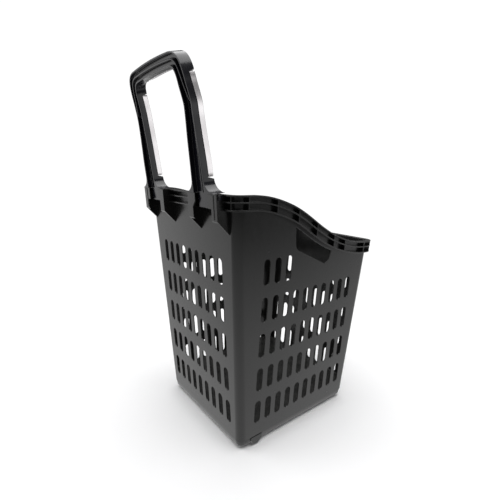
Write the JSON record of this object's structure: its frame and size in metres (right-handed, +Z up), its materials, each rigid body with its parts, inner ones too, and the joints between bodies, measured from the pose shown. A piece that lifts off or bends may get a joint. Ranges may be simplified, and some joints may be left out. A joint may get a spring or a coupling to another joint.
{
  "type": "rolling basket trolley",
  "caption": "Deep slotted plastic shopping basket on small wheels, with a low front rim, side hand-holds and a tall plugged-in hoop handle.",
  "frame": {"origin": "middle of the bottom of the bounding box, on the floor", "axes": "+Z up, +Y towards the handle and the user, +X towards the left of a user who pushes the trolley"},
  "size_m": [0.4098, 0.5359, 0.8481],
  "materials": {
    "black_moulding": "satin moulded polypropylene",
    "handle_black": "smooth semi-gloss moulding",
    "bright_trim": "bright polished strip",
    "tyre_black": "matte rubber tread",
    "hub_grey": "satin nylon",
    "zinc_steel": "zinc plated"
  },
  "bodies": {
    "trolley": {"basket_tub": "black_moulding", "base_plinth": "black_moulding", "handle_hoop": "handle_black", "handle_trim_left": "bright_trim", "handle_trim_right": "bright_trim", "handle_grip_trim": "bright_trim", "handle_latch_left": "handle_black", "handle_latch_right": "handle_black", "base_screw_1": "zinc_steel", "base_screw_2": "zinc_steel", "base_screw_3": "zinc_steel", "base_screw_4": "zinc_steel", "base_screw_5": "zinc_steel", "base_screw_6": "zinc_steel", "rear_axle_left": "zinc_steel", "rear_axle_right": "zinc_steel"},
    "rear_wheel_left": {"rear_tyre_left": "tyre_black", "rear_hub_left": "hub_grey"},
    "castor_left": {"castor_fork_left": "black_moulding", "castor_washer_left": "hub_grey", "castor_retainer_left": "zinc_steel", "castor_axle_left": "zinc_steel"},
    "castor_wheel_left": {"castor_tyre_left": "tyre_black", "castor_hub_left": "hub_grey"},
    "rear_wheel_right": {"rear_tyre_right": "tyre_black", "rear_hub_right": "hub_grey"},
    "castor_right": {"castor_fork_right": "black_moulding", "castor_washer_right": "hub_grey", "castor_retainer_right": "zinc_steel", "castor_axle_right": "zinc_steel"},
    "castor_wheel_right": {"castor_tyre_right": "tyre_black", "castor_hub_right": "hub_grey"}
  },
  "joints": [
    {"name": "rear_wheel_spin_left", "type": "hinge", "parent": "trolley", "child": "rear_wheel_left", "pos_m": [0.153, 0.099, 0.02], "axis": [1, 0, 0], "continuous": true},
    {"name": "castor_swivel_left", "type": "hinge", "parent": "trolley", "child": "castor_left", "pos_m": [0.112, -0.166, 0.045], "axis": [0, 0, 1], "continuous": true},
    {"name": "castor_wheel_spin_left", "type": "hinge", "parent": "castor_left", "child": "castor_wheel_left", "pos_m": [0.112, -0.154, 0.017], "axis": [1, 0, 0], "continuous": true},
    {"name": "rear_wheel_spin_right", "type": "hinge", "parent": "trolley", "child": "rear_wheel_right", "pos_m": [-0.153, 0.099, 0.02], "axis": [1, 0, 0], "continuous": true},
    {"name": "castor_swivel_right", "type": "hinge", "parent": "trolley", "child": "castor_right", "pos_m": [-0.112, -0.166, 0.045], "axis": [0, 0, 1], "continuous": true},
    {"name": "castor_wheel_spin_right", "type": "hinge", "parent": "castor_right", "child": "castor_wheel_right", "pos_m": [-0.112, -0.154, 0.017], "axis": [1, 0, 0], "continuous": true}
  ]
}
